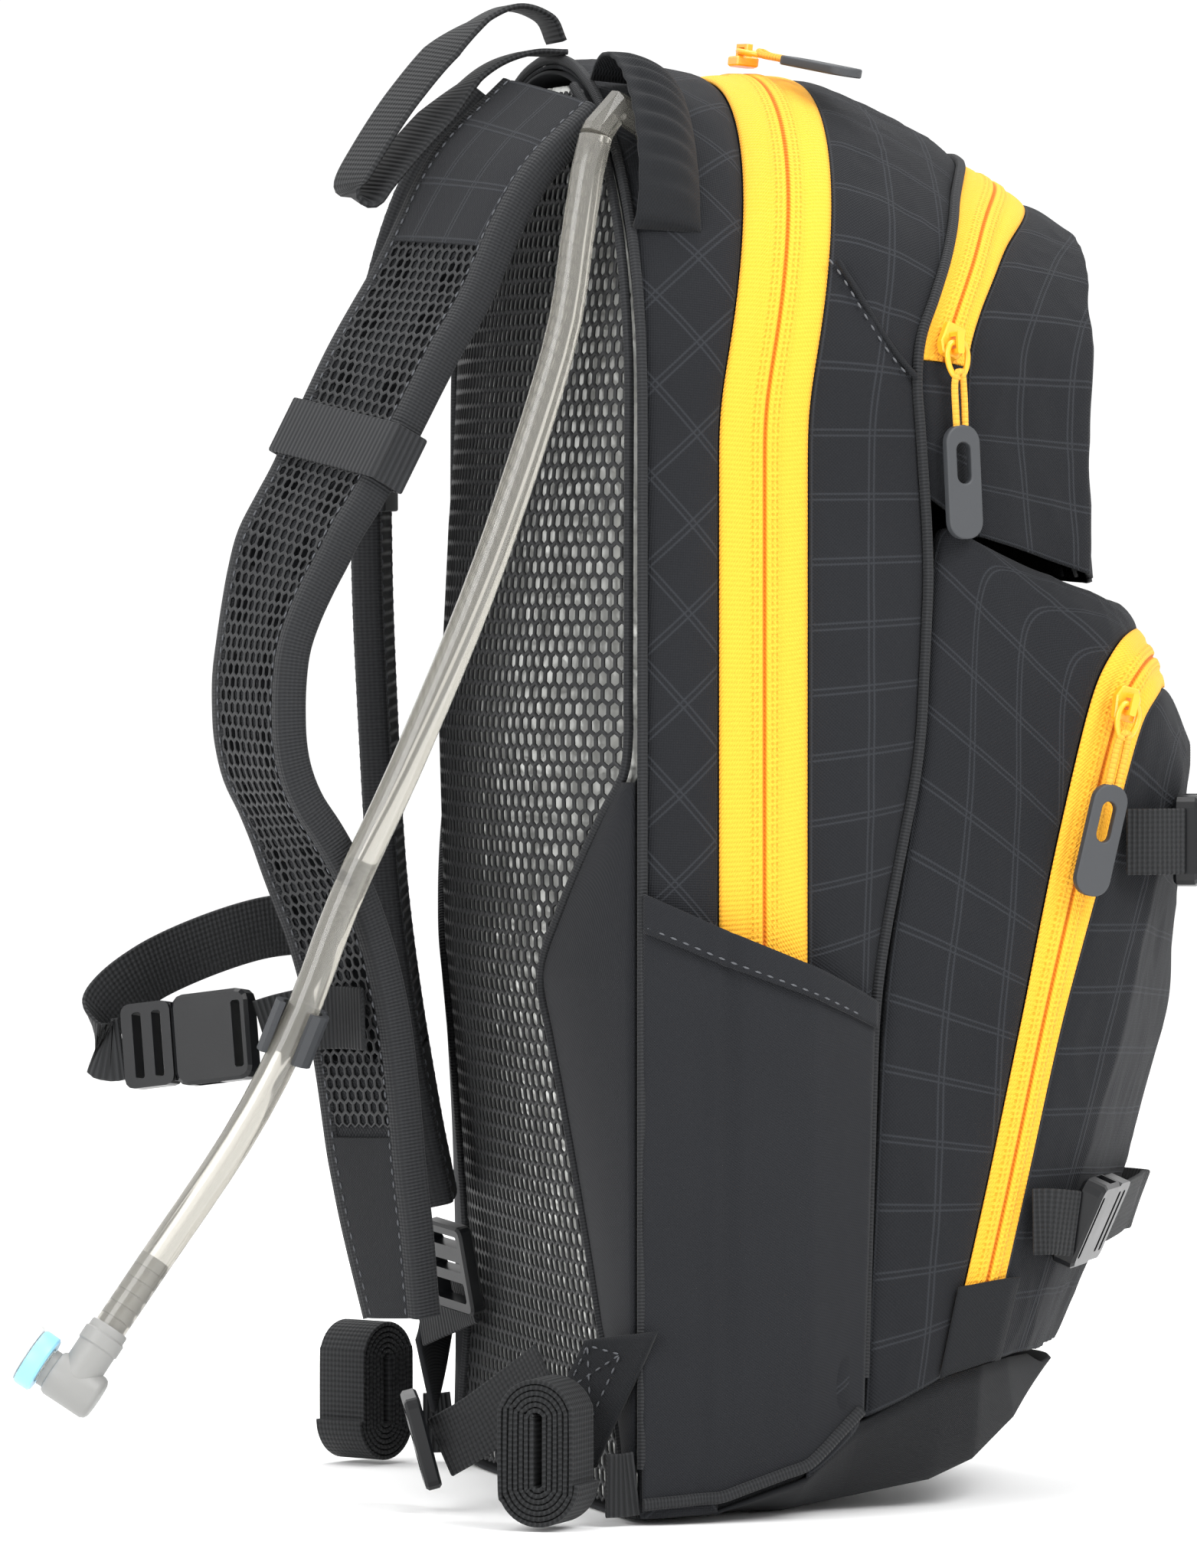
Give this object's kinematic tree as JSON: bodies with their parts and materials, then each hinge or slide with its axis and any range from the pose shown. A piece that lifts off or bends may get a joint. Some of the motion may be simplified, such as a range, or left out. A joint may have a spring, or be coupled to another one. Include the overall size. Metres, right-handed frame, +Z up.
{
  "type": "hydration pack",
  "caption": "Small backpack with a zipped pocket, water bladder, drink tube with a bite valve, padded shoulder straps, and buckled compression and chest straps.",
  "frame": {"origin": "middle of the flat base, on the surface it stands on", "axes": "+Z up, +Y towards the wearer's back, -Y the outer front, -X the wearer's left"},
  "size_m": [0.2692, 0.4236, 0.4791],
  "materials": {
    "black_acetal": "moulded, semi-gloss",
    "black_plain_weave": "matt plain weave",
    "black_ripstop": "matt woven ripstop with a thread grid",
    "black_spacer_mesh": "open mesh",
    "black_webbing": "ribbed webbing",
    "blue_cap": "moulded",
    "charcoal_rubber": "moulded, matt",
    "clear_bladder": "clear film",
    "clear_silicone": "clear silicone",
    "clear_tube": "extruded clear tube",
    "grey_plastic": "moulded",
    "pale_blue_ring": "moulded",
    "silver_film": "crumpled metallised film",
    "yellow_zinc": "painted cast zinc",
    "yellow_zip": "woven coil zip tape"
  },
  "bodies": {
    "pack": {"back_mesh": "black_spacer_mesh", "bottom_panel": "black_ripstop", "drink_tube": "clear_tube", "front_pocket_gusset": "black_ripstop", "front_pocket_panel": "black_ripstop", "front_zip_tape": "yellow_zip", "hose_connector": "grey_plastic", "inner_tube": "clear_tube", "insulating_film": "silver_film", "keeper_left": "black_webbing", "keeper_right": "black_webbing", "label_patch": "charcoal_rubber", "ladder_lock_left": "black_acetal", "ladder_lock_right": "black_acetal", "lower_buckle_female": "black_acetal", "lower_strap_tab": "black_webbing", "lower_webbing_left": "black_webbing", "lower_webbing_right": "black_webbing", "lumbar_wing_left": "black_plain_weave", "lumbar_wing_right": "black_plain_weave", "main_zip_tape": "yellow_zip", "mid_gusset": "black_ripstop", "rear_gusset": "black_ripstop", "reservoir": "clear_bladder", "reservoir_sleeve": "black_plain_weave", "shoulder_strap_left": "black_ripstop", "shoulder_strap_right": "black_ripstop", "side_pocket_left": "black_plain_weave", "side_pocket_right": "black_plain_weave", "sternum_buckle_female": "black_acetal", "sternum_webbing_left": "black_webbing", "top_zip_tape": "yellow_zip", "tube_clip": "charcoal_rubber", "tube_port": "black_plain_weave", "upper_buckle_female": "black_acetal", "upper_front_panel": "black_ripstop", "upper_strap_tab": "black_webbing", "waist_roll_left": "black_webbing", "waist_roll_right": "black_webbing", "waist_webbing_left": "black_webbing", "waist_webbing_right": "black_webbing", "wing_tab_left": "black_plain_weave", "wing_tab_right": "black_plain_weave"},
    "haul_loop": {"haul_loop": "black_webbing"},
    "main_slider": {"main_zip_slider": "yellow_zinc"},
    "main_pull": {"main_zip_pull": "yellow_zinc"},
    "top_slider": {"top_zip_slider": "yellow_zinc"},
    "top_pull": {"top_zip_pull": "yellow_zinc"},
    "front_slider": {"front_zip_slider": "yellow_zinc"},
    "front_pull": {"front_zip_pull": "yellow_zinc"},
    "sternum_plug": {"sternum_buckle_male": "black_acetal", "sternum_webbing_right": "black_webbing"},
    "upper_plug": {"upper_buckle_male": "black_acetal", "upper_strap": "black_webbing"},
    "lower_plug": {"lower_buckle_male": "black_acetal", "lower_strap": "black_webbing"},
    "elbow": {"elbow": "grey_plastic"},
    "valve": {"bite_valve": "clear_silicone", "valve_ring": "pale_blue_ring"},
    "cap": {"reservoir_cap": "blue_cap"}
  },
  "joints": [
    {"name": "haul_loop_swing", "type": "hinge", "parent": "pack", "child": "haul_loop", "pos_m": [0, 0.034, 0.464], "axis": [1, 0, 0], "range_deg": [0, 60]},
    {"name": "main_zip_travel", "type": "hinge", "parent": "pack", "child": "main_slider", "pos_m": [-0.005, -0.0045, 0.35], "axis": [0, 0.9766, 0.2149], "range_deg": [-90, 0]},
    {"name": "main_pull_swing", "type": "hinge", "parent": "main_slider", "child": "main_pull", "pos_m": [-0.00497, -0.02902, 0.46528], "axis": [0.2527, -0.9627, -0.0963], "range_deg": [-150, 0]},
    {"name": "top_zip_travel", "type": "slide", "parent": "pack", "child": "top_slider", "axis": [0.334, -0.3164, 0.8879], "range_m": [0, 0.01]},
    {"name": "top_pull_swing", "type": "hinge", "parent": "top_slider", "child": "top_pull", "pos_m": [-0.11161, -0.06844, 0.36987], "axis": [0.2807, -0.9597, 0.0148], "range_deg": [-150, 0]},
    {"name": "front_zip_travel", "type": "slide", "parent": "pack", "child": "front_slider", "axis": [-0.0062, 0.2323, -0.9726], "range_m": [0, 0.14]},
    {"name": "front_pull_swing", "type": "hinge", "parent": "front_slider", "child": "front_pull", "pos_m": [-0.11482, -0.12506, 0.25567], "axis": [0.2273, -0.9469, -0.2276], "range_deg": [-150, 0]},
    {"name": "sternum_release", "type": "slide", "parent": "pack", "child": "sternum_plug", "axis": [0.6218, 0.7722, -0.1304], "range_m": [0, 0.02]},
    {"name": "upper_release", "type": "slide", "parent": "pack", "child": "upper_plug", "axis": [0.9003, -0.4352, 0], "range_m": [0, 0.02]},
    {"name": "lower_release", "type": "slide", "parent": "pack", "child": "lower_plug", "axis": [0.8713, -0.4907, 0], "range_m": [0, 0.02]},
    {"name": "elbow_swivel", "type": "hinge", "parent": "pack", "child": "elbow", "pos_m": [-0.074, 0.196, 0.062], "axis": [0.0429, 0.5649, -0.824], "range_deg": [-90, 90]},
    {"name": "valve_twist", "type": "hinge", "parent": "elbow", "child": "valve", "pos_m": [-0.07007, 0.2158, 0.04981], "axis": [0.3037, 0.7784, 0.5495], "range_deg": [0, 90]},
    {"name": "cap_turn", "type": "hinge", "parent": "pack", "child": "cap", "pos_m": [0, -0.0014, 0.275], "axis": [0, -1, 0], "range_deg": [0, 120]}
  ]
}
